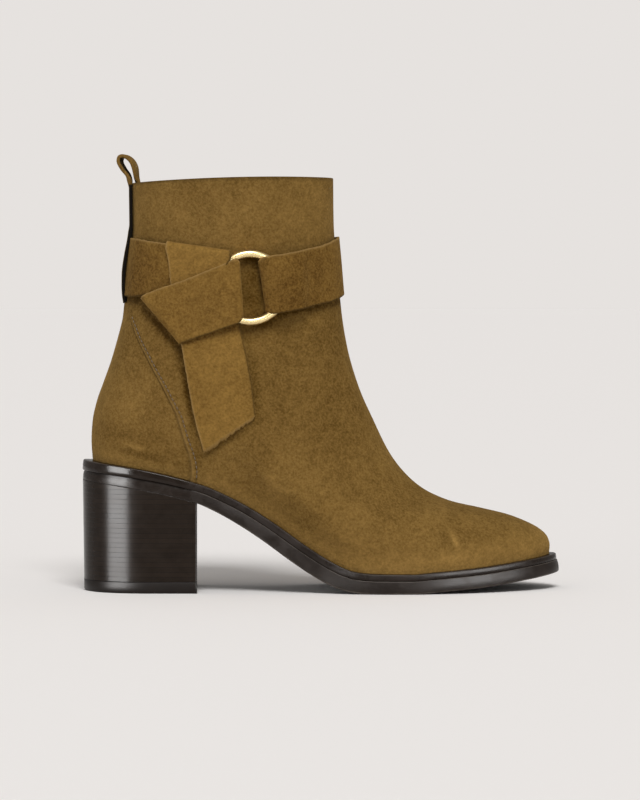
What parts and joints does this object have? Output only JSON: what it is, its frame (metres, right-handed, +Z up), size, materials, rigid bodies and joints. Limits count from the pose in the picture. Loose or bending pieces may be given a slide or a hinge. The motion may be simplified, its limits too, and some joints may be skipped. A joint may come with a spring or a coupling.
{
  "type": "ankle boot",
  "caption": "Right-foot suede ankle boot with a hollow upper, stacked block heel, welted leather sole, knotted ankle strap through a metal ring, and a pull loop.",
  "frame": {"origin": "middle of the boot's bounding box on the floor it stands on", "axes": "+X to the toe, +Y to the inner side of the foot, +Z up"},
  "size_m": [0.2496, 0.0884, 0.2265],
  "materials": {
    "suede": "olive-tan suede, soft nap",
    "strap_suede": "olive-tan suede, cut edges",
    "insole_leather": "smooth tan leather",
    "welt_leather": "dark brown, waxed edge",
    "sole_leather": "dark brown, waxed edge",
    "stacked_leather": "dark brown, polished stack",
    "heel_rubber": "matt dark rubber",
    "pale_gold": "polished pale gold plate",
    "black_backed_suede": "suede face, black backing and edge"
  },
  "bodies": {
    "root": {"upper": "suede", "insole": "insole_leather", "welt": "welt_leather", "outsole": "sole_leather", "heel_block": "stacked_leather", "heel_top_piece": "heel_rubber", "strap": "strap_suede", "ring": "pale_gold", "back_strip": "black_backed_suede"}
  },
  "joints": []
}
